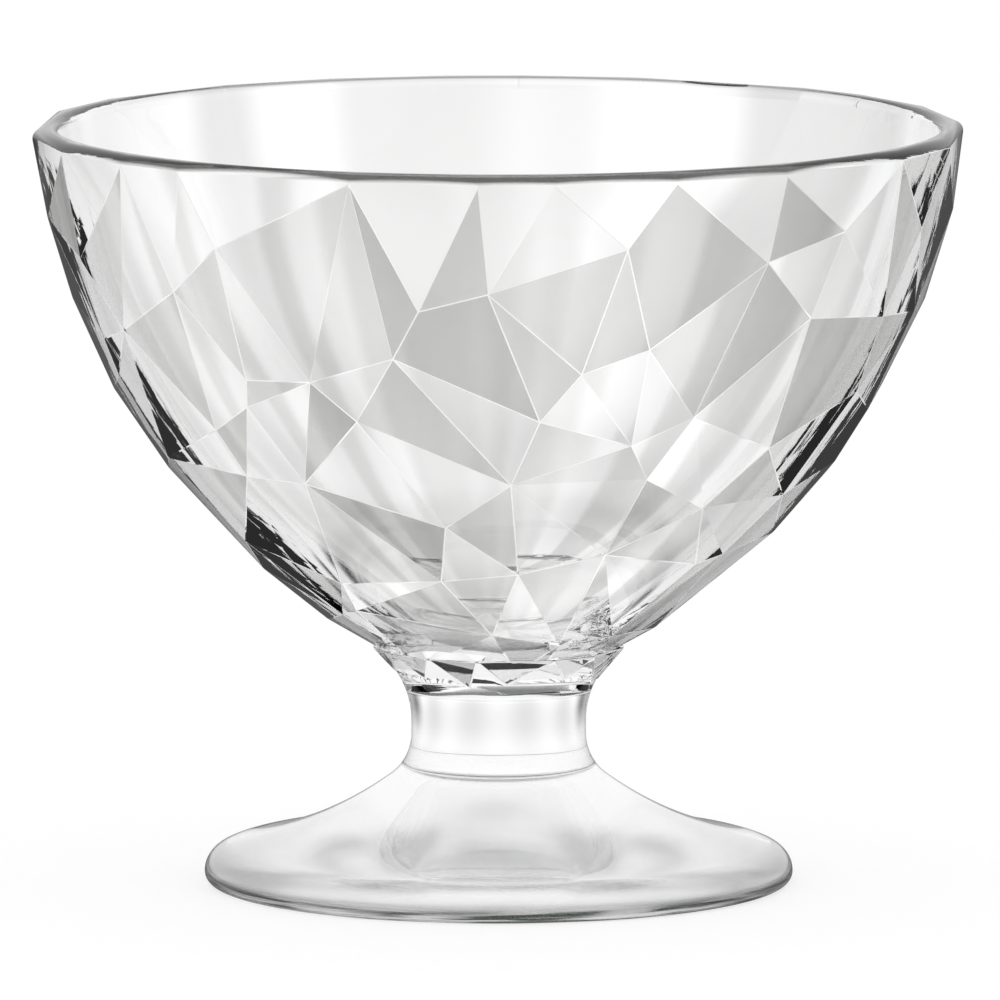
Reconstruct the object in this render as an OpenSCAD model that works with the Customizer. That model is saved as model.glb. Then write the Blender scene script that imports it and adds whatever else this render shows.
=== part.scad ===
/* [Bowl] */
// Diameter across the rim, over the facet corners
rim_d = 120.5; // [100:0.5:140]
// Height of the bowl, from its weld on the stem to the rim
bowl_h = 73.1; // [64:0.1:88]
// Radius of the arc that the bowl's side follows
side_r = 88; // [78:1:115]
// Thickness of the bowl's wall, measured at the facet corners
wall = 3.5; // [2.8:0.1:4.5]
// Thickness of the glass between the bowl's hollow and the stem weld
floor_t = 7.4; // [6:0.1:9]
// Rounding between the floor of the hollow and its side
floor_round = 9; // [5:0.5:12]
// Rounding of the rim's outer edge
rim_round = 1.4; // [0.8:0.1:1.8]
// Rounding of the rim's inner edge
lip_round = 1.3; // [0.8:0.1:1.8]

/* [Facets] */
// Facet corners round half of the rim, which the other half repeats
half_corners = 11; // [8:1:14]
// Seed of the irregular layout of the facet corners
layout_seed = 47; // [1:1:60]
// How far a corner strays from an even layout, as a share of the spacing
stray_share = 0.4; // [0:0.05:0.4]

/* [Stem] */
// Diameter of the stem at its waist
waist_d = 22.6; // [18:0.1:26]
// Length of the waist's straight run
waist_run = 1.5; // [0.5:0.1:3]
// Height of the stem between its two welds
stem_h = 10.4; // [9.5:0.1:12]
// Height of the waist's lower end above the foot weld
ankle_h = 4.3; // [3.5:0.1:5]
// Radius of the hollow curve from the waist down to the foot
ankle_curve_r = 7; // [6.6:0.1:12]
// Radius of the hollow curve from the waist up to the bowl
neck_curve_r = 12; // [11:0.5:15]

/* [Foot] */
// Diameter of the foot
foot_d = 76.2; // [66:0.1:90]
// Height of the foot, from the table to its weld under the stem
foot_h = 15.2; // [14:0.1:17]
// Radius of the hollow curve of the foot's top
flare_r = 50; // [40:1:70]
// Radius of the swelling near the foot's edge
brim_swell_r = 7.4; // [5:0.1:10]
// Rounding of the foot's edge above its widest line
brim_round = 3.3; // [2.4:0.1:4]
// Rounding of the foot's edge below its widest line
toe_round = 1.5; // [1:0.1:2.2]
// Width of the flat ring that the glass stands on
ring_w = 2.4; // [1.6:0.1:3.6]
// Rise of the hollow under the foot, without the dimple in its middle
kick_h = 3.6; // [2.4:0.1:4.4]
// Further rise of the dimple in the middle of the hollow
dimple_h = 3.4; // [2:0.1:4.6]
// Radius at which the dimple has died out by half
dimple_r = 5.6; // [4:0.1:7]

/* [Hidden] */

glass_tint = [0.86, 0.9, 0.88, 0.45];
arc_steps = 24;
turn_fn = 180;
overrun = 2;

// Heights of the two welds, of the waist's ends and of the rim
foot_weld_z = foot_h;
bowl_weld_z = foot_weld_z + stem_h;
ankle_z = foot_weld_z + ankle_h;
neck_z = ankle_z + waist_run;
rim_z = bowl_weld_z + bowl_h;

// The stem's two hollow curves, whose centres lie out beside the ends of the waist
waist_r = waist_d / 2;
ankle_c = [waist_r + ankle_curve_r, ankle_z];
neck_c = [waist_r + neck_curve_r, neck_z];
foot_weld_turn = asin(ankle_h / ankle_curve_r);
bowl_weld_turn = asin((bowl_weld_z - neck_z) / neck_curve_r);

// Below the stem, its curve ends at this turn on the foot's flare
ankle_turn = 52;
ankle_end = ankle_c - ankle_curve_r * [cos(ankle_turn), sin(ankle_turn)];

// Above the stem, its curve ends at this turn, and the neck runs on straight to the facets
neck_turn = 50;
neck_run = 1.9;
neck_way = [sin(neck_turn), cos(neck_turn)];
neck_tip = neck_c + neck_curve_r * [-cos(neck_turn), sin(neck_turn)] + neck_run * neck_way;

// The arc of the side runs from the neck's tip to the rim's outer corner
rim_corner = [rim_d / 2, rim_z - rim_round];
side_c = apex(neck_tip, rim_corner, side_r, side_r);
rim_angle = bearing(rim_corner - side_c);
neck_angle = bearing(neck_tip - side_c);

// Rows of facet corners: place along the side, corners in the row, and turn of the row
row_shares = [0, 0.15, 0.29, 0.43, 0.58, 0.74, 0.9, 1.06];
count_shares = [1, 1, 1, 1, 0.9, 0.8, 0.65, 0.45];
turn_shares = [0, 0.5, 0, 0.5, 0.1, 0.6, 0.2, 0.4];
last_row = len(row_shares) - 1;

// Bearing of a vector in the plane of the profile
function bearing(v) = atan2(v.y, v.x);

// Points on an arc about c, from one bearing to another
function arc(c, r, from, to, steps = arc_steps) =
    [for (i = [0:steps]) let (a = from + (to - from) * i / steps) c + r * [cos(a), sin(a)]];

// Place at distance p_r from p and q_r from q, on the left of the way from p to q
function apex(p, q, p_r, q_r) =
    let (d = norm(q - p), u = (q - p) / d, along = (d * d + p_r * p_r - q_r * q_r) / (2 * d))
    p + along * u + sqrt(p_r * p_r - along * along) * [-u.y, u.x];

// Facet corners of one row on the arc of the side, the same in both halves of the bowl
function corner_row(row) =
    let (
        count = round(half_corners * count_shares[row]),
        gap_share = row == 0 || row == last_row ? 0 : row_shares[row + 1] - row_shares[row],
        sideways = rands(-1, 1, count, layout_seed + row),
        lengthways = rands(-1, 1, count, layout_seed - row)
    )
    [for (half = [0, 1], i = [0:count - 1]) let (
        turn = 180 * (half + (i + turn_shares[row] + stray_share * sideways[i]) / count),
        share = row_shares[row] + gap_share * stray_share * lengthways[i],
        a = rim_angle + (neck_angle - rim_angle) * share,
        p = side_c + side_r * [cos(a), sin(a)]
    ) [p.x * cos(turn), p.x * sin(turn), p.y]];

// The rim's outer edge, rounded over from the first row of corners
rim_steps = 4;
function rim_rows(first) =
    [for (s = [1:rim_steps], p = first) let (
        a = 90 * s / rim_steps,
        reach = norm([p.x, p.y]),
        share = 1 - rim_round * (1 - cos(a)) / reach
    ) [p.x * share, p.y * share, p.z + rim_round * sin(a)]];

module facet_body() {
    first = corner_row(0);
    corners = concat(first, rim_rows(first), [for (row = [1:last_row]) each corner_row(row)]);
    hull() polyhedron(corners, [for (i = [2:len(corners) - 1]) [i - 2, i - 1, i]]);
}

module neck() {
    rotate_extrude($fn = turn_fn)
        polygon(concat(
            [[0, bowl_weld_z]],
            arc(neck_c, neck_curve_r, 180 - bowl_weld_turn, 180 - neck_turn),
            [neck_tip, neck_tip + [0, overrun], [0, neck_tip.y + overrun]]
        ));
}

// The hollow of the bowl: floor, rounding, side at an even distance inside the facet corners, and lip
module hollow() {
    side_in = side_r - wall;
    floor_z = bowl_weld_z + floor_t;
    round_z = floor_z + floor_round;
    round_c = [side_c.x + sqrt(pow(side_in - floor_round, 2) - pow(round_z - side_c.y, 2)), round_z];
    lip_z = rim_z - lip_round;
    lip_c = [side_c.x + sqrt(pow(side_in + lip_round, 2) - pow(lip_z - side_c.y, 2)), lip_z];
    rotate_extrude($fn = turn_fn)
        polygon(concat(
            [[0, floor_z]],
            arc(round_c, floor_round, -90, bearing(round_c - side_c)),
            arc(side_c, side_in, bearing(round_c - side_c), bearing(lip_c - side_c)),
            arc(lip_c, lip_round, 180 + bearing(lip_c - side_c), 90),
            [[lip_c.x, rim_z + overrun], [0, rim_z + overrun]]
        ));
}

module bowl() {
    color(glass_tint) difference() {
        union() {
            facet_body();
            neck();
        }
        hollow();
    }
}

module stem() {
    color(glass_tint) rotate_extrude($fn = turn_fn)
        polygon(concat(
            [[0, foot_weld_z]],
            arc(ankle_c, ankle_curve_r, 180 + foot_weld_turn, 180),
            arc(neck_c, neck_curve_r, 180, 180 - bowl_weld_turn),
            [[0, bowl_weld_z]]
        ));
}

// Rise of the foot's underside at a distance from the middle: a shallow hollow with a dimple in it
function kick_z(r, edge_r) =
    kick_h * (1 - pow(r / edge_r, 2)) + dimple_h * pow(2, -pow(r / dimple_r, 2));

module foot() {
    foot_r = foot_d / 2;
    toe_c = [foot_r - toe_round, toe_round];
    brim_c = [foot_r - brim_round, toe_round];
    brim_turn = 66;
    swell_c = brim_c - (brim_swell_r - brim_round) * [cos(brim_turn), sin(brim_turn)];
    flare_c = apex(ankle_end, swell_c, flare_r, flare_r + brim_swell_r);
    kick_r = toe_c.x - ring_w;
    color(glass_tint) rotate_extrude($fn = turn_fn)
        polygon(concat(
            [for (i = [0:arc_steps]) let (r = kick_r * i / arc_steps) [r, kick_z(r, kick_r)]],
            [[kick_r, 0]],
            arc(toe_c, toe_round, -90, 0),
            arc(brim_c, brim_round, 0, brim_turn),
            arc(swell_c, brim_swell_r, brim_turn, bearing(flare_c - swell_c)),
            arc(flare_c, flare_r, bearing(swell_c - flare_c), bearing(ankle_end - flare_c)),
            arc(ankle_c, ankle_curve_r, 180 + ankle_turn, 180 + foot_weld_turn),
            [[0, foot_weld_z]]
        ));
}

bowl();
stem();
foot();
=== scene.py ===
import math
import random

import bmesh
import bpy
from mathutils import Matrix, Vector


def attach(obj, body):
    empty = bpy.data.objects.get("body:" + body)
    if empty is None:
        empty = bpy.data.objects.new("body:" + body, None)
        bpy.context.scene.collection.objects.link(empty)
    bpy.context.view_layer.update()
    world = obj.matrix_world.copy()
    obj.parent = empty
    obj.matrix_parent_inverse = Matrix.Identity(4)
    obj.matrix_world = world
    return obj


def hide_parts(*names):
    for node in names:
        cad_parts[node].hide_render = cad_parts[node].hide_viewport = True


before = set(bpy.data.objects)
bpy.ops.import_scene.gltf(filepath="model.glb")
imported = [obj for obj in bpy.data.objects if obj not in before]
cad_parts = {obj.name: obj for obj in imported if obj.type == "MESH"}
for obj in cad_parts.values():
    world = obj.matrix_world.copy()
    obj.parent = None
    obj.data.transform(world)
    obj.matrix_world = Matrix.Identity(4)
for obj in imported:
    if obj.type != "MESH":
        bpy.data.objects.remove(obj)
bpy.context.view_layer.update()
scene = bpy.context.scene
mm = 0.001  # lengths are written in millimetres below

viewPoint = {
    "distance": 2500.0,  # from the aim to the lens
    "elevation": 7.4,  # degrees above the table
    "aim": (0.17, 0.0, 49.8),  # the photograph's centre, on the glass's axis
    "focalLength": 696.0,
    "sensor": 36.0,
    "nearClip": 100.0,
    "farClip": 100000.0,
}


def placeCamera(values):
    tilt = math.radians(values["elevation"])
    lens = bpy.data.cameras.new("camera")
    lens.lens = values["focalLength"]
    lens.sensor_width = values["sensor"]
    lens.clip_start = values["nearClip"] * mm
    lens.clip_end = values["farClip"] * mm
    camera = bpy.data.objects.new("camera", lens)
    back = Vector((0.0, -math.cos(tilt), math.sin(tilt)))
    camera.location = (Vector(values["aim"]) + values["distance"] * back) * mm
    camera.rotation_euler = (math.pi / 2 - tilt, 0.0, 0.0)
    scene.collection.objects.link(camera)
    scene.camera = camera


placeCamera(viewPoint)
scene.view_settings.view_transform = "Standard"
scene.cycles.max_bounces = 24  # light that is caught for longer leaves the dark patches at the flanks
scene.cycles.transmission_bounces = 24
scene.cycles.glossy_bounces = 16
scene.cycles.transparent_max_bounces = 16
scene.cycles.use_denoising = True
print("camera placed")


class Wire:
    def __init__(self, bench, socket):
        self.bench = bench
        self.socket = socket

    def out(self, name):
        return Wire(self.bench, self.socket.node.outputs[name])

    def change(self, operation, other=0.0):
        return self.bench.maths(operation, self, other)

    def __add__(self, other):
        return self.bench.maths("ADD", self, other)

    def __sub__(self, other):
        return self.bench.maths("SUBTRACT", self, other)

    def __rsub__(self, other):
        return self.bench.maths("SUBTRACT", other, self)

    def __mul__(self, other):
        return self.bench.maths("MULTIPLY", self, other)

    def __truediv__(self, other):
        return self.bench.maths("DIVIDE", self, other)

    def __rtruediv__(self, other):
        return self.bench.maths("DIVIDE", other, self)

    def __mod__(self, other):
        return self.bench.maths("MODULO", self, other)

    def __rmod__(self, other):
        return self.bench.maths("MODULO", other, self)

    def __gt__(self, other):
        return self.bench.maths("GREATER_THAN", self, other)

    def __lt__(self, other):
        return self.bench.maths("LESS_THAN", self, other)

    __radd__ = __add__
    __rmul__ = __mul__


class Bench:
    def __init__(self, tree):
        self.tree = tree

    def add(self, kind, settings=None, sockets=None, output=0):
        node = self.tree.nodes.new(kind)
        for name, value in (settings or {}).items():
            setattr(node, name, value)
        for name, value in (sockets or {}).items():
            if isinstance(value, Wire):
                self.tree.links.new(value.socket, node.inputs[name])
            else:
                node.inputs[name].default_value = value
        return Wire(self, node.outputs[output] if node.outputs else None)

    def maths(self, operation, first, second=0.0):
        return self.add("ShaderNodeMath", {"operation": operation}, {0: first, 1: second})

    def vector(self, x, y, z=0.0):
        return self.add("ShaderNodeCombineXYZ", {}, {0: x, 1: y, 2: z})

    def vectorMaths(self, operation, *given):
        return self.add("ShaderNodeVectorMath", {"operation": operation}, dict(enumerate(given)))

    def vectorMix(self, share, first, second):
        return self.add("ShaderNodeMix", {"data_type": "VECTOR"}, {0: share, 4: first, 5: second}, output=1)

    def colourMix(self, share, first, second):
        ends = [end if isinstance(end, Wire) else (*end, 1.0) for end in (first, second)]
        return self.add("ShaderNodeMix", {"data_type": "RGBA"}, {0: share, 6: ends[0], 7: ends[1]}, output=2)

    def smoothStep(self, value, first, last):
        settings = {"interpolation_type": "SMOOTHSTEP"}
        return self.add("ShaderNodeMapRange", settings, {0: value, 1: first, 2: last})

    def grey(self, level):
        return self.vector(level, level, level)

    def split(self, wire):
        parts = self.add("ShaderNodeSeparateXYZ", {}, {0: wire})
        return parts.out("X"), parts.out("Y"), parts.out("Z")

    def spot(self):
        return self.split(self.add("ShaderNodeTexCoord", output="Object"))  # a point on the piece


def flatLength(x, y):
    return (x * x + y * y).change("SQRT")


bowlValues = {
    "rimDiameter": 120.5,  # over the facet corners
    "height": 73.1,  # from the weld on the stem to the rim
    "sideRadius": 88.0,
    "wall": 3.5,
    "floorThickness": 7.4,
    "floorRound": 9.0,
    "rimRound": 1.4,
    "lipRound": 1.3,
    "rimSteps": 8,
    "facetsEnd": 29.5,  # height inside the neck at which the faceted body is closed
    "ridgeWidth": 0.17,  # of the fire-polished ridges between facets, on each side
    "ridgeSteps": 3,
    "flatAngle": 0.15,  # below which neighbouring faces are one facet
    "sharpAngle": 32.0,
    "turns": 288,
    "collarCorners": 13,  # the facets that carry the pattern down over the neck
    "collarStart": 26.7,
    "collarStray": 1.3,  # by which corners of the lowest row stray upwards
    "collarSwing": 0.25,  # and all of them sideways, as a share of their spacing
    "collarDrop": 0.6,
    "collarShares": (1.02, 1.0, 0.9),  # of the neck's radius, for each row of corners
    "collarSeed": 4,
    "facetSeed": 21,
    "facetTilt": 6.0,  # degrees by which single facets lean off their plane
    "facetShade": (0.32, 0.32, 0.31),  # painted shade of the darkest facet, standing in for the darker light it refracts
    "lowShade": (0.04, 0.042, 0.04),  # and painted shade of the darkest one low down in the bowl
    "lowFrom": 46.0,
    "lowTo": 29.0,
    "farSoftness": 0.86,  # how far the far facets are smoothed for rays that leave there
    "bandScale": 3.4,  # of the soft upright bands of painted shade on the far wall
    "bandFrom": 0.4,
    "bandTo": 0.6,
    "bandShare": 0.5,
    "skin": 0.3,  # how close to the inner wall's arc a point counts as on it
    "rimMargin": 0.5,
    "lensShade": (0.02, 0.022, 0.02),
    "lensFrom": 4.0,  # height above the hollow's floor at which the painted dark lens begins
    "lensTo": 1.0,
    "rimShade": (0.015, 0.015, 0.014),
    "rimInside": 0.42,  # depth of the rim's painted dark line below the top, at the inner wall
    "rimSlope": 0.25,  # how it grows toward the outer wall
    "rimFade": 0.5,
    "rimTop": 0.35,  # how far down from the top the painted dark line is lighter
    "rimClearing": 0.1,
}
stemValues = {
    "waistDiameter": 22.6,
    "waistRun": 1.5,
    "height": 10.4,
    "ankleHeight": 4.3,
    "ankleRadius": 7.0,
    "ankleTurn": 52,  # degrees of the ankle's curve, which ends on the foot
    "neckRadius": 12.0,
    "neckTurn": 50,  # degrees of the neck's curve, which ends in a straight run up to the facets
    "neckRun": 1.9,
    "collarTurn": 36,  # degrees of the neck's curve that stay round, below the collar
    "turns": 288,
    "upright": 0.85,  # how much less the waist bends light up and down than its outline would
    "uprightFrom": 0.5,  # as shares of its height, from the middle
    "uprightTo": 0.42,
}
footValues = {
    "diameter": 76.2,
    "height": 15.2,
    "flareRadius": 50.0,
    "swellRadius": 7.4,
    "brimRound": 3.3,
    "brimTurn": 66,
    "toeRound": 1.5,
    "ringWidth": 2.4,
    "kickHeight": 3.6,  # of the hollow under the foot
    "kickSteps": 72,
    "dimpleHeight": 3.4,
    "dimpleRadius": 5.6,
    "turns": 288,
    "satin": 0.22,  # roughness that the mould leaves on the underside
    "level": 0.97,  # how much less the underside bends light than its outline would
    "dimpleLevel": 0.94,  # and how much less in the dimple
    "dimpleFrom": 9.0,
    "dimpleTo": 6.5,
    "edgeShade": (0.012, 0.015, 0.012),  # painted shade of the streaks low down in the foot's edge
    "edgeFrom": 2.6,
    "edgeTo": 1.2,
    "edgeReach": 34.0,
    "streakLength": 11.667,
    "streakFlatness": 30,  # how many times as long as high
    "streakFrom": 0.35,
    "streakTo": 0.6,
    "streakShare": 0.5,
}
overrun = 2.0  # by which solids that are joined or cut run into each other


def bearing(way):
    return math.degrees(math.atan2(way.y, way.x))


def toward(angle):
    return Vector((math.cos(math.radians(angle)), math.sin(math.radians(angle))))


def arc(centre, radius, first, last, steps=24):
    return [centre + radius * toward(first + (last - first) * i / steps) for i in range(steps + 1)]


def apex(p, q, fromP, fromQ):
    way = (q - p).normalized()
    along = ((q - p).length_squared + fromP ** 2 - fromQ ** 2) / (2 * (q - p).length)
    return p + along * way + math.sqrt(fromP ** 2 - along ** 2) * Vector((-way.y, way.x))


footWeld = footValues["height"]
bowlWeld = footWeld + stemValues["height"]
rimHeight = bowlWeld + bowlValues["height"]
waist = stemValues["waistDiameter"] / 2
ankleRadius, neckRadius = stemValues["ankleRadius"], stemValues["neckRadius"]
ankleCentre = Vector((waist + ankleRadius, footWeld + stemValues["ankleHeight"]))
neckCentre = Vector((waist + neckRadius, ankleCentre.y + stemValues["waistRun"]))
footWeldTurn = math.degrees(math.asin(stemValues["ankleHeight"] / ankleRadius))
bowlWeldTurn = math.degrees(math.asin((bowlWeld - neckCentre.y) / neckRadius))
neckEnd = neckCentre + neckRadius * toward(180 - stemValues["neckTurn"])
neckTip = neckEnd + stemValues["neckRun"] * toward(90 - stemValues["neckTurn"])
rimCorner = Vector((bowlValues["rimDiameter"] / 2, rimHeight - bowlValues["rimRound"]))
sideCentre = apex(neckTip, rimCorner, bowlValues["sideRadius"], bowlValues["sideRadius"])
innerRadius = bowlValues["sideRadius"] - bowlValues["wall"]


def stemOutline():
    return [
        Vector((0, footWeld)),
        *arc(ankleCentre, ankleRadius, 180 + footWeldTurn, 180),
        *arc(neckCentre, neckRadius, 180, 180 - bowlWeldTurn),
        Vector((0, bowlWeld)),
    ]


def kickEdge(values):
    return values["diameter"] / 2 - values["toeRound"] - values["ringWidth"]


def footOutline(values):
    toe, brim, swell = values["toeRound"], values["brimRound"], values["swellRadius"]
    flare, edge, steps = values["flareRadius"], kickEdge(values), values["kickSteps"]
    toeCentre = Vector((values["diameter"] / 2 - toe, toe))
    brimCentre = Vector((values["diameter"] / 2 - brim, toe))
    swellCentre = brimCentre - (swell - brim) * toward(values["brimTurn"])
    ankleEnd = ankleCentre - ankleRadius * toward(stemValues["ankleTurn"])
    flareCentre = apex(ankleEnd, swellCentre, flare, flare + swell)
    flareStart = bearing(swellCentre - flareCentre)
    kick = []
    for i in range(steps + 1):
        r = edge * i / steps
        dimple = values["dimpleHeight"] * 2 ** -((r / values["dimpleRadius"]) ** 2)
        kick.append(Vector((r, values["kickHeight"] * (1 - (r / edge) ** 2) + dimple)))
    return [
        *kick,
        Vector((edge, 0)),
        *arc(toeCentre, toe, -90, 0),
        *arc(brimCentre, brim, 0, values["brimTurn"]),
        *arc(swellCentre, swell, values["brimTurn"], bearing(flareCentre - swellCentre)),
        *arc(flareCentre, flare, flareStart, bearing(ankleEnd - flareCentre), steps=48),
        *arc(ankleCentre, ankleRadius, 180 + stemValues["ankleTurn"], 180 + footWeldTurn),
        Vector((0, footWeld)),
    ]


def neckOutline():
    side = arc(neckCentre, neckRadius, 180 - bowlWeldTurn, 180 - stemValues["collarTurn"])
    return [Vector((0, bowlWeld)), *side, Vector((0, side[-1].y + overrun))]


def neckReach(height):
    rise = min(height, neckTip.y) - neckCentre.y
    return min(neckCentre.x - math.sqrt(neckRadius ** 2 - rise ** 2), neckTip.x)


def centreBeside(radius, height):
    # the centre at a height of a rounding, whose distance from the side's centre is the radius
    return Vector((sideCentre.x + math.sqrt(radius ** 2 - (height - sideCentre.y) ** 2), height))


def hollowOutline(values):
    floor = bowlWeld + values["floorThickness"]
    turn, lip = values["floorRound"], values["lipRound"]
    turnCentre = centreBeside(innerRadius - turn, floor + turn)
    lipCentre = centreBeside(innerRadius + lip, rimHeight - lip)
    turnBearing, lipBearing = bearing(turnCentre - sideCentre), bearing(lipCentre - sideCentre)
    return [
        Vector((0, floor)),
        *arc(turnCentre, turn, -90, turnBearing),
        *arc(sideCentre, innerRadius, turnBearing, lipBearing, steps=64),
        *arc(lipCentre, lip, 180 + lipBearing, 90),
        Vector((lipCentre.x, rimHeight + overrun)),
        Vector((0, rimHeight + overrun)),
    ]


glassLook = {
    "ior": 1.51,
    "tint": (0.985, 0.99, 0.985),
    "waveSize": 9.0,  # of the faint unevenness of fire-polished glass
    "waveDepth": 0.006,
    "waveDetail": 2.0,
    "waveRoughness": 0.45,
}


def newMaterial(name):
    material = bpy.data.materials.new(name)
    material.use_nodes = True
    material.node_tree.nodes.clear()
    return material, Bench(material.node_tree)


def finishGlass(bench, look, tint, normal=None, roughness=0.0):
    wave = bench.add("ShaderNodeTexNoise", {}, {
        "Vector": bench.add("ShaderNodeTexCoord", output="Object"),
        "Scale": 1 / (look["waveSize"] * mm),
        "Detail": look["waveDetail"],
        "Roughness": look["waveRoughness"],
    })
    bump = {"Strength": 1.0, "Distance": look["waveDepth"] * mm, "Height": wave}
    if normal is not None:
        bump["Normal"] = normal
    surface = bench.add("ShaderNodeBsdfPrincipled", {}, {
        "Base Color": tint if isinstance(tint, Wire) else (*tint, 1.0),
        "Roughness": roughness,
        "IOR": look["ior"],
        "Transmission Weight": 1.0,
        "Normal": bench.add("ShaderNodeBump", {}, bump),
    })
    bench.add("ShaderNodeOutputMaterial", {}, {"Surface": surface})


def makeFacetedGlass(look, values):
    material, bench = newMaterial("faceted_pressed_glass")
    surface = bench.add("ShaderNodeNewGeometry", output="Normal")
    inside = surface.out("Backfacing")
    x, y, z = bench.spot()
    reach = flatLength(x, y)
    across, rise = reach - sideCentre.x * mm, z - sideCentre.y * mm
    depth = (across * across + rise * rise).change("SQRT") - innerRadius * mm
    onInner = depth < values["skin"] * mm
    onSide = (z < (rimCorner.y - values["rimMargin"]) * mm) * (z > neckTip.y * mm)
    onOuter = (depth > values["wall"] / 2 * mm) * onSide
    # painted shade: the front facets are tinted in different greys, standing in for the light each refracts,
    # and the far wall is tinted only in soft upright bands
    noise = {"Vector": bench.vector(x / reach, y / reach), "Scale": values["bandScale"], "Detail": 0.0}
    band = bench.smoothStep(bench.add("ShaderNodeTexNoise", {}, noise), values["bandFrom"], values["bandTo"])
    bands = band * values["bandShare"] + (1 - values["bandShare"])
    paintedLightness = bench.add("ShaderNodeAttribute", {"attribute_name": "facetPaintedLightness"}, output="Fac")
    paintedLightness = (paintedLightness + (bands - 1) * onInner).change("MAXIMUM", inside)
    lowness = bench.smoothStep(z, values["lowFrom"] * mm, values["lowTo"] * mm)
    shade = bench.colourMix(lowness, values["facetShade"], values["lowShade"])
    tint = bench.colourMix(paintedLightness, shade, look["tint"])
    # painted shade: little light comes down through the floor of the hollow, so a dark lens is tinted in
    # under it
    overFloor = z - (bowlWeld + values["floorThickness"]) * mm
    lens = bench.smoothStep(overFloor, values["lensFrom"] * mm, values["lensTo"] * mm) * onInner * inside
    tint = bench.colourMix(lens, tint, values["lensShade"])
    # painted shade: a dark line is tinted into the rounded rim, broad outside and thin inside
    overLine = z - rimHeight * mm + depth * values["rimSlope"] + values["rimInside"] * mm
    top = bench.smoothStep(z, (rimHeight - values["rimTop"]) * mm, rimHeight * mm) * values["rimClearing"]
    rim = bench.smoothStep(overLine, 0.0, values["rimFade"] * mm) * (1 - inside) * (1 - top)
    tint = bench.colourMix(rim, tint, values["rimShade"])
    # rays that go in meet each facet's own lean, and rays that go out a rounder wall
    inward = across / reach * -1
    roundWay = bench.vectorMaths("NORMALIZE", bench.vector(inward * x, inward * y, rise * -1))
    softened = bench.vectorMix(onOuter * values["farSoftness"], surface, roundWay)
    lean = bench.add("ShaderNodeAttribute", {"attribute_name": "facetTilt"}, output="Vector")
    leaning = bench.vectorMaths("ADD", surface, lean)
    normal = bench.vectorMaths("NORMALIZE", bench.vectorMix(inside, leaning, softened))
    finishGlass(bench, look, tint, normal)
    return material


def makeStemGlass(look, values):
    material, bench = newMaterial("drawn_glass")
    _, _, z = bench.spot()
    away = (z - (footWeld + bowlWeld) / 2 * mm).change("ABSOLUTE")
    tall = values["height"] * mm
    waistShare = bench.smoothStep(away, values["uprightFrom"] * tall, values["uprightTo"] * tall)
    surface = bench.add("ShaderNodeNewGeometry", output="Normal")
    bent = bench.vectorMaths("MULTIPLY", surface, bench.vector(1.0, 1.0, 1 - waistShare * values["upright"]))
    finishGlass(bench, look, look["tint"], bench.vectorMaths("NORMALIZE", bent))
    return material


def makeFootGlass(look, values):
    material, bench = newMaterial("foot_pressed_glass")
    # painted shade: dark streaks are tinted low in the foot's edge, standing in for the shade of the table
    # close under it
    x, y, z = bench.spot()
    streak = bench.add("ShaderNodeTexNoise", {}, {
        "Vector": bench.vector(x, y, z * values["streakFlatness"]),
        "Scale": 1 / (values["streakLength"] * mm),
        "Detail": 1.0,
    })
    streaks = bench.smoothStep(streak, values["streakFrom"], values["streakTo"]) * values["streakShare"]
    low = bench.smoothStep(z, values["edgeFrom"] * mm, values["edgeTo"] * mm)
    outside = flatLength(x, y) > values["edgeReach"] * mm
    edge = low * outside * (streaks + (1 - values["streakShare"]))
    finishGlass(bench, look, bench.colourMix(edge, look["tint"], values["edgeShade"]))
    return material


def makeSatinGlass(look, values):
    material, bench = newMaterial("satin_underside")
    x, y, _ = bench.spot()
    dimple = bench.smoothStep(flatLength(x, y), values["dimpleFrom"] * mm, values["dimpleTo"] * mm)
    bend = dimple * (values["level"] - values["dimpleLevel"]) + (1 - values["level"])
    surface = bench.add("ShaderNodeNewGeometry", output="Normal")
    bent = bench.vectorMaths("MULTIPLY", surface, bench.vector(bend, bend, 1.0))
    finishGlass(bench, look, look["tint"], bench.vectorMaths("NORMALIZE", bent), values["satin"])
    return material


def makeWeld():
    # glass fused to glass can't be seen
    material, bench = newMaterial("fused_weld")
    surface = bench.add("ShaderNodeBsdfTransparent", {}, {"Color": (1.0, 1.0, 1.0, 1.0)})
    bench.add("ShaderNodeOutputMaterial", {}, {"Surface": surface})
    return material


facetedGlass = makeFacetedGlass(glassLook, bowlValues)
stemGlass = makeStemGlass(glassLook, stemValues)
footGlass = makeFootGlass(glassLook, footValues)
satinGlass = makeSatinGlass(glassLook, footValues)
weld = makeWeld()
print("materials made")


turningValues = {
    "seam": 0.0005,  # how close together points are merged, at the axis and the seam
    "creaseAngle": 28.0,
    "weldDepth": 0.001,  # how close to a weld's height its faces lie
}
noWeld = -1000.0  # a height that no face has


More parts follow.
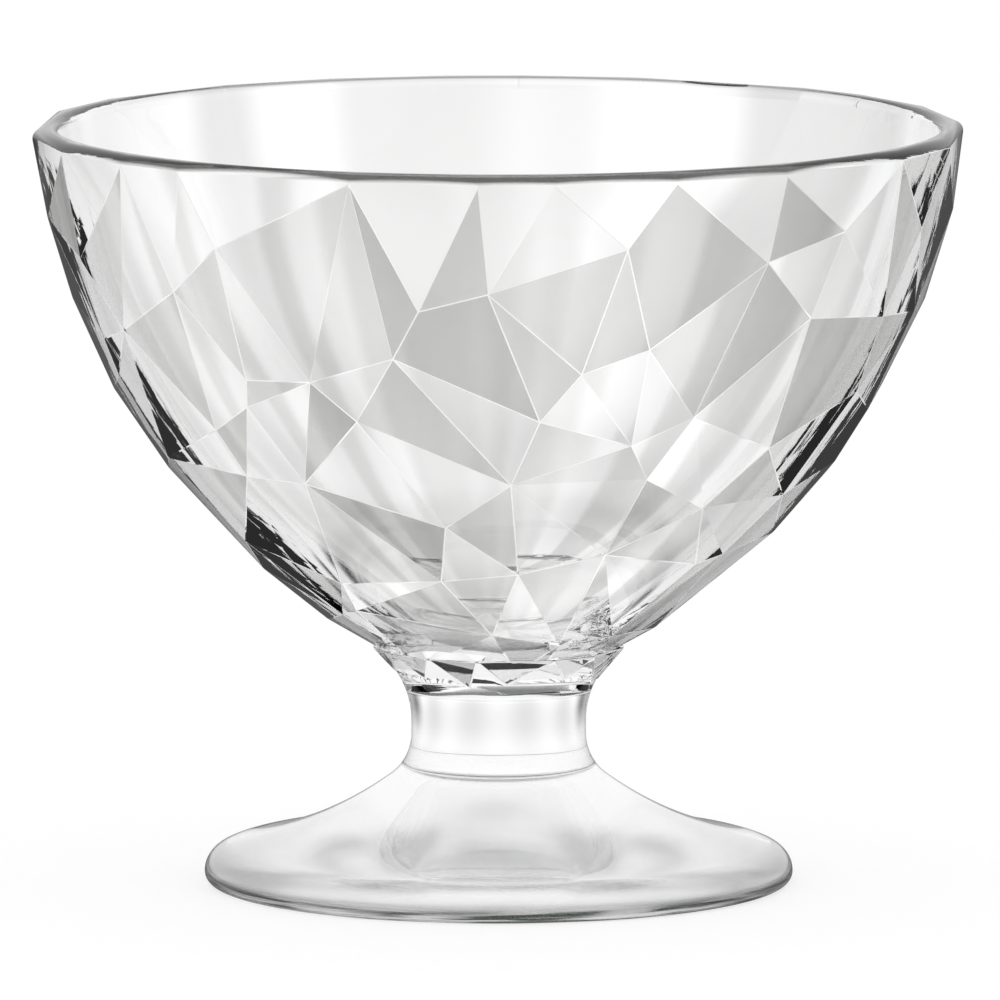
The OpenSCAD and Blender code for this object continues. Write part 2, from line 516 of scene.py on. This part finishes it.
def turningTree(values):
    # turns an outline round the axis: a grid with a column for each of its points and a row for each turn
    tree = bpy.data.node_groups.new("turned_outline", "GeometryNodeTree")
    face = tree.interface
    face.new_socket("Outline", in_out="INPUT", socket_type="NodeSocketGeometry")
    face.new_socket("Turns", in_out="INPUT", socket_type="NodeSocketInt")
    for name in ("Lower Weld", "Upper Weld"):
        face.new_socket(name, in_out="INPUT", socket_type="NodeSocketFloat")
    for name in ("Glass", "Weld"):
        face.new_socket(name, in_out="INPUT", socket_type="NodeSocketMaterial")
    face.new_socket("Solid", in_out="OUTPUT", socket_type="NodeSocketGeometry")
    bench = Bench(tree)
    given = bench.add("NodeGroupInput")
    outline = given.out("Outline")
    points = bench.add("GeometryNodeAttributeDomainSize", {"component": "MESH"}, {"Geometry": outline})
    rows = given.out("Turns") + 1
    grid = {"Size X": 1.0, "Size Y": 1.0, "Vertices X": points, "Vertices Y": rows}
    sheet = bench.add("GeometryNodeMeshGrid", {}, grid)
    number = bench.add("GeometryNodeInputIndex")
    place = bench.add("GeometryNodeSampleIndex", {"data_type": "FLOAT_VECTOR", "domain": "POINT"}, {
        "Geometry": outline,
        "Value": bench.add("GeometryNodeInputPosition"),
        "Index": (number / rows).change("FLOOR"),
    })
    out, _, up = bench.split(place)
    angle = (number % rows) / given.out("Turns") * (2 * math.pi)
    turned = bench.vector(out * angle.change("COSINE"), out * angle.change("SINE"), up)
    moved = bench.add("GeometryNodeSetPosition", {}, {"Geometry": sheet, "Position": turned})
    seam = {"Geometry": moved, "Distance": values["seam"] * mm}
    closed = bench.add("GeometryNodeMergeByDistance", {}, seam)
    shading = {"Geometry": closed, "Shade Smooth": True}
    smooth = bench.add("GeometryNodeSetShadeSmooth", {"domain": "FACE"}, shading)
    sharp = bench.add("GeometryNodeInputMeshEdgeAngle") > math.radians(values["creaseAngle"])
    shading = {"Geometry": smooth, "Selection": sharp, "Shade Smooth": False}
    creased = bench.add("GeometryNodeSetShadeSmooth", {"domain": "EDGE"}, shading)
    real = bench.add("GeometryNodeRealizeInstances", {}, {"Geometry": creased})
    painted = bench.add("GeometryNodeSetMaterial", {}, {"Geometry": real, "Material": given.out("Glass")})
    _, _, height = bench.split(bench.add("GeometryNodeInputPosition"))
    lower, upper = ((height - given.out(name)).change("ABSOLUTE") for name in ("Lower Weld", "Upper Weld"))
    atWeld = lower.change("MINIMUM", upper) < values["weldDepth"] * mm
    welded = {"Geometry": painted, "Selection": atWeld, "Material": given.out("Weld")}
    bench.add("NodeGroupOutput", {}, {0: bench.add("GeometryNodeSetMaterial", {}, welded)})
    return tree


turning = turningTree(turningValues)


def finishedMesh(holder):
    return bpy.data.meshes.new_from_object(holder.evaluated_get(bpy.context.evaluated_depsgraph_get()))


def newObject(name, mesh):
    made = bpy.data.objects.new(name, mesh)
    scene.collection.objects.link(made)
    return made


def outward(mesh):
    work = bmesh.new()
    work.from_mesh(mesh)
    bmesh.ops.recalc_face_normals(work, faces=work.faces)
    work.to_mesh(mesh)
    work.free()


def turnedSolid(name, outline, turns, glass, lowerWeld=noWeld, upperWeld=noWeld):
    line = bpy.data.meshes.new(name + "_outline")
    steps = [(i, i + 1) for i in range(len(outline) - 1)]
    line.from_pydata([(p.x * mm, 0.0, p.y * mm) for p in outline], steps, [])
    holder = newObject(name + "_outline", line)
    modifier = holder.modifiers.new("turning", "NODES")
    modifier.node_group = turning
    given = {
        "Turns": turns,
        "Lower Weld": lowerWeld * mm,
        "Upper Weld": upperWeld * mm,
        "Glass": glass,
        "Weld": weld,
    }
    for item in turning.interface.items_tree:
        if item.in_out == "INPUT" and item.name in given:
            modifier[item.identifier] = given[item.name]
    mesh = finishedMesh(holder)
    mesh.name = name
    bpy.data.objects.remove(holder)
    outward(mesh)
    return newObject(name, mesh)


def satinUnderside(piece, values):
    steepest = -0.3  # height part of the normals of the faces that count as the underside
    piece.data.materials.append(satinGlass)
    for face in piece.data.polygons:
        if face.normal.z < steepest and face.center.xy.length < kickEdge(values) * mm:
            face.material_index = len(piece.data.materials) - 1


stemPiece = turnedSolid("stem_glass", stemOutline(), stemValues["turns"], stemGlass, footWeld, bowlWeld)
footPiece = turnedSolid("foot_glass", footOutline(footValues), footValues["turns"], footGlass, footWeld)
satinUnderside(footPiece, footValues)
print("stem and foot turned:", len(stemPiece.data.polygons), len(footPiece.data.polygons), "faces")


def facetPlanes(node):
    # the planes of the outer facets, each once, with all of the bowl above the neck behind it
    seam, leastArea, clearance = 0.002, 0.5, 0.5
    sameWay, sameReach = 0.99999, 0.02
    work = bmesh.new()
    work.from_mesh(node.data)
    bmesh.ops.remove_doubles(work, verts=work.verts, dist=seam * mm)
    above = [v.co / mm for v in work.verts if v.co.z > (neckTip.y + overrun + clearance) * mm]
    planes = []
    for triangle in work.faces:
        middle = triangle.calc_center_median() / mm
        normal = triangle.normal.copy()
        if triangle.calc_area() < leastArea * mm * mm or not neckTip.y <= middle.z <= rimCorner.y:
            continue
        if normal.x * middle.x + normal.y * middle.y <= 0:
            continue
        reach = normal.dot(middle)
        if any(normal.dot(n) > sameWay and abs(reach - r) < sameReach for n, r in planes):
            continue
        if max(normal.dot(p) for p in above) < reach + sameReach:
            planes.append((normal, reach))
    work.free()
    return planes


def hullOf(points):
    work = bmesh.new()
    for point in points:
        work.verts.new(point)
    found = bmesh.ops.convex_hull(work, input=work.verts, use_existing_faces=False)
    spare = found["geom_interior"] + found["geom_unused"]
    loose = {item for item in spare if isinstance(item, bmesh.types.BMVert)}
    bmesh.ops.delete(work, geom=list(loose), context="VERTS")
    return work


def cornersOf(planes, inside):
    # each triangle of the dual hull gives the corner where three planes meet
    samePlace = 0.05
    dual = hullOf([n / (reach - n.dot(inside)) for n, reach in planes])
    corners = []
    for face in dual.faces:
        a, b, c = (v.co for v in face.verts)
        cross = (b - a).cross(c - a)
        corner = inside + cross / cross.dot(a)
        if not any((corner - other).length < samePlace for other in corners):
            corners.append(corner)
    dual.free()
    return corners


def ridgedSolid(name, corners, lowest, highest, values):
    # the solid between the corners, with its ridges rounded from the lowest height to the highest
    work = hullOf([c * mm for c in corners])
    flat = math.radians(values["flatAngle"])
    bmesh.ops.dissolve_limit(work, angle_limit=flat, verts=work.verts, edges=work.edges)
    bmesh.ops.recalc_face_normals(work, faces=work.faces)
    planes = [(f.normal.copy(), f.normal.dot(f.calc_center_median() / mm)) for f in work.faces]
    ridges = []
    for edge in work.edges:
        heights = [v.co.z for v in edge.verts]
        if min(heights) < highest * mm and max(heights) > lowest * mm:
            ridges.append(edge)
    bmesh.ops.bevel(
        work, geom=ridges, offset=values["ridgeWidth"] * mm, offset_type="OFFSET",
        segments=values["ridgeSteps"], profile=0.5, affect="EDGES", clamp_overlap=True,
    )
    bmesh.ops.recalc_face_normals(work, faces=work.faces)
    mesh = bpy.data.meshes.new(name)
    work.to_mesh(mesh)
    work.free()
    return newObject(name, mesh), planes


def facetedBody(planes, values):
    inside = Vector((0, 0, 65))  # any point well within the facets
    sameHeight, margin = 0.05, 0.1
    closing, rounding = values["facetsEnd"], values["rimRound"]
    ends = [(Vector((0, 0, 1)), rimCorner.y), (Vector((0, 0, -1)), -closing)]
    corners = cornersOf(planes + ends, inside)
    rim = [c for c in corners if abs(c.z - rimCorner.y) < sameHeight]
    print("corners:", len(corners), "on the rim:", len(rim))
    for step in range(1, values["rimSteps"] + 1):
        a = math.pi / 2 * step / values["rimSteps"]
        for c in rim:
            share = 1 - rounding * (1 - math.cos(a)) / math.hypot(c.x, c.y)
            corners.append(Vector((c.x * share, c.y * share, c.z + rounding * math.sin(a))))
    return ridgedSolid("facets", corners, closing + margin, rimCorner.y - margin, values)[0]


def collarBody(values):
    # short facets in three rows of corners, the lowest of them uneven
    dice = random.Random(values["collarSeed"])
    count, swing = values["collarCorners"], values["collarSwing"]
    start, stray = values["collarStart"], values["collarStray"]
    corners = []
    for row, height in enumerate((start, neckTip.y - values["collarDrop"], neckTip.y + overrun)):
        for i in range(count):
            turn = 2 * math.pi * (i + row / 2 + dice.uniform(-swing, swing)) / count
            z = height + (dice.uniform(0, stray) if row == 0 else 0)
            reach = values["collarShares"][row] * neckReach(z)
            corners.append(Vector((reach * math.cos(turn), reach * math.sin(turn), z)))
    return ridgedSolid("collar", corners, start + stray, neckTip.y, values)


def combine(body, tool, operation):
    modifier = body.modifiers.new(operation.lower(), "BOOLEAN")
    modifier.operation = operation
    modifier.object = tool
    modifier.solver = "EXACT"
    mesh = finishedMesh(body)
    body.modifiers.remove(modifier)
    body.data = mesh
    bpy.data.objects.remove(tool)


def markFacets(mesh, planes, values):
    # a lean and a painted lightness for each facet, which its material reads
    sameWay, sameReach = 0.9999, 0.02
    dice = random.Random(values["facetSeed"])
    most = math.tan(math.radians(values["facetTilt"]))
    leans = [Vector([dice.uniform(-most, most) for _ in range(3)]) for _ in planes]
    # painted shade: a random lightness for each facet, standing in for the light it refracts
    clear = [dice.random() for _ in planes]
    tilts, paintedLightness = [], []
    marked = 0
    for face in mesh.polygons:
        middle = face.center / mm
        for number, (normal, reach) in enumerate(planes):
            if face.normal.dot(normal) > sameWay and abs(normal.dot(middle) - reach) < sameReach:
                tilts.extend(leans[number] - normal * leans[number].dot(normal))
                paintedLightness.append(clear[number])
                marked += 1
                break
        else:
            tilts.extend((0.0, 0.0, 0.0))
            paintedLightness.append(1.0)
    mesh.attributes.new("facetTilt", "FLOAT_VECTOR", "FACE").data.foreach_set("vector", tilts)
    mesh.attributes.new("facetPaintedLightness", "FLOAT", "FACE").data.foreach_set("value", paintedLightness)
    print("faces marked:", marked, "on", len(planes), "facets")


def smoothBowl(mesh, values):
    downward = -0.9
    mesh.materials.clear()
    mesh.materials.append(facetedGlass)
    mesh.materials.append(weld)
    for face in mesh.polygons:
        low = abs(face.center.z - bowlWeld * mm) < turningValues["weldDepth"] * mm
        face.use_smooth = True
        face.material_index = 1 if low and face.normal.z < downward else 0
    work = bmesh.new()
    work.from_mesh(mesh)
    for edge in work.edges:
        smooth = len(edge.link_faces) == 2 and edge.calc_face_angle() < math.radians(values["sharpAngle"])
        edge.smooth = smooth
    work.to_mesh(mesh)
    work.free()


def makeBowl(values):
    planes = facetPlanes(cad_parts["bowl"])
    body = facetedBody(planes, values)
    collar, collarPlanes = collarBody(values)
    combine(body, collar, "UNION")
    combine(body, turnedSolid("neck", neckOutline(), values["turns"], facetedGlass), "UNION")
    combine(body, turnedSolid("hollow", hollowOutline(values), values["turns"], facetedGlass), "DIFFERENCE")
    body.name = body.data.name = "bowl_glass"
    smoothBowl(body.data, values)
    weighted = body.modifiers.new("flat_facets", "WEIGHTED_NORMAL")
    weighted.keep_sharp = True
    weighted.weight = 100
    finished = finishedMesh(body)
    body.modifiers.remove(weighted)
    body.data = finished
    markFacets(finished, planes + collarPlanes, values)
    return body


bowlPiece = makeBowl(bowlValues)
print("bowl made:", len(bowlPiece.data.polygons), "faces")

for piece, node in ((bowlPiece, "bowl"), (stemPiece, "stem"), (footPiece, "foot")):
    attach(piece, "root")
    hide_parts(node)
print("pieces set in the frame")

studio = {
    "floorSize": 20000.0,
    "floorDrop": 0.02,  # keeps the floor and the foot's ring from showing through each other
    "floorColour": (0.3, 0.3, 0.3),
    "floorGlow": 0.73,
    "whiteFrom": 90.0,  # distance from the glass over which the floor turns plain white
    "whiteTo": 200.0,
    "shadeRadius": 46.0,  # painted shadow: the floor, as the glass shows it, is darker in a ring round the foot
    "shadeWidth": 9.0,
    "shadeDepth": 0.95,
    "glassHeight": 60.0,  # height from which the floor is seen through the glass
    "base": 0.94,  # light near the horizon
    "overhead": 1.04,  # and high up or low down
    "panels": 16,  # faint unevenness of the light, in turns round the glass
    "panelDepth": 0.1,
    "bandTurn": 26.0,  # and in degrees of height
    "bandDepth": 0.1,
    "bandCentre": -7.4,
    "bandSpread": 24.0,
    "gapFrom": 0.68,  # sine of the angle from straight ahead where a dark gap between panels begins
    "gapFull": 0.86,
    "gapBack": 0.985,  # and where it fades out again
    "gapTo": 0.998,
    "gapDepth": 0.75,
    "gapCalm": 0.85,  # how much less the gaps show in mirrored light
    "gapTopFrom": 15.0,
    "gapTopTo": 40.0,
    "gapLowFrom": -12.0,
    "gapLowTo": -28.0,
    "outerMirror": 0.22,  # how strongly the outside of the glass mirrors what lies low
    "upFrom": -5.0,
    "upTo": 5.0,
}


def panelLight(bench, path, x, y, z, values):
    # soft panels all round, seen only through the glass and in it
    degree = 180 / math.pi
    flat = flatLength(x, y)
    rise = bench.maths("ARCTAN2", z, flat) * degree
    mirrored = path.out("Glossy Depth") > 0.5
    offset = rise - values["bandCentre"]
    panels = (y.change("ARCTAN2", x) * values["panels"]).change("COSINE") * values["panelDepth"]
    bands = (offset * (2 * math.pi / values["bandTurn"])).change("COSINE") * values["bandDepth"]
    spread = offset / values["bandSpread"]
    near = (spread * spread * -1).change("EXPONENT")
    uneven = (panels + bands) * (1 - mirrored) + (values["base"] - values["overhead"])
    level = uneven * near + values["overhead"]
    side = (x / flat).change("ABSOLUTE")
    gaps = bench.smoothStep(side, values["gapFrom"], values["gapFull"])
    gaps = gaps * bench.smoothStep(side, values["gapTo"], values["gapBack"])
    high = bench.smoothStep(rise, values["gapTopFrom"], values["gapTopTo"])
    low = bench.smoothStep(rise, values["gapLowFrom"], values["gapLowTo"])
    level = level - gaps * (1 - high) * (1 - low) * (1 - mirrored * values["gapCalm"]) * values["gapDepth"]
    # the outside of the glass mirrors low light weakly, and so its edges show
    outer = mirrored * (path.out("Transmission Depth") < 0.5)
    up = bench.smoothStep(rise, values["upFrom"], values["upTo"])
    return level * (1 - outer * (1 - up) * (1 - values["outerMirror"]))


def plainRay(path):
    return (path.out("Is Camera Ray") + path.out("Is Diffuse Ray")) > 0.5


def makeFloor(values):
    half = values["floorSize"] / 2 * mm
    mesh = bpy.data.meshes.new("floor")
    corners = [(-half, -half, 0), (half, -half, 0), (half, half, 0), (-half, half, 0)]
    mesh.from_pydata(corners, [], [(0, 1, 2, 3)])
    floor = newObject("floor", mesh)
    floor.location.z = -values["floorDrop"] * mm
    material, bench = newMaterial("pale_floor")
    path = bench.add("ShaderNodeLightPath")
    matte = bench.add("ShaderNodeBsdfDiffuse", {}, {"Color": (*values["floorColour"], 1.0)})
    glow = bench.add("ShaderNodeEmission", {}, {"Strength": values["floorGlow"]})
    both = bench.add("ShaderNodeAddShader", {}, {0: matte, 1: glow})
    x, y, _ = bench.spot()
    reach = flatLength(x, y)
    level = panelLight(bench, path, x, y, -values["glassHeight"] * mm, values)
    # painted shadow on the floor as the glass sees it, in a ring round the foot
    away = (reach - values["shadeRadius"] * mm).change("ABSOLUTE")
    level = level * (1 - bench.smoothStep(away, values["shadeWidth"] * mm, 0.0) * values["shadeDepth"])
    seen = bench.add("ShaderNodeEmission", {}, {"Color": bench.grey(level)})
    white = bench.add("ShaderNodeEmission", {}, {"Strength": 1.0})
    fade = bench.smoothStep(reach, values["whiteFrom"] * mm, values["whiteTo"] * mm)
    bare = bench.add("ShaderNodeMixShader", {}, {0: fade, 1: both, 2: white})
    surface = bench.add("ShaderNodeMixShader", {}, {0: plainRay(path), 1: seen, 2: bare})
    bench.add("ShaderNodeOutputMaterial", {}, {"Surface": surface})
    mesh.materials.append(material)


def makeWorld(values):
    world = bpy.data.worlds.new("studio")
    scene.world = world
    world.use_nodes = True
    world.node_tree.nodes.clear()
    bench = Bench(world.node_tree)
    path = bench.add("ShaderNodeLightPath")
    x, y, z = bench.split(bench.add("ShaderNodeTexCoord", output="Generated"))
    plain = plainRay(path)
    level = panelLight(bench, path, x, y, z, values)
    level = plain + (1 - plain) * level
    sky = bench.add("ShaderNodeBackground", {}, {"Color": bench.grey(level)})
    bench.add("ShaderNodeOutputWorld", {}, {"Surface": sky})


makeFloor(studio)
makeWorld(studio)
print("studio set")
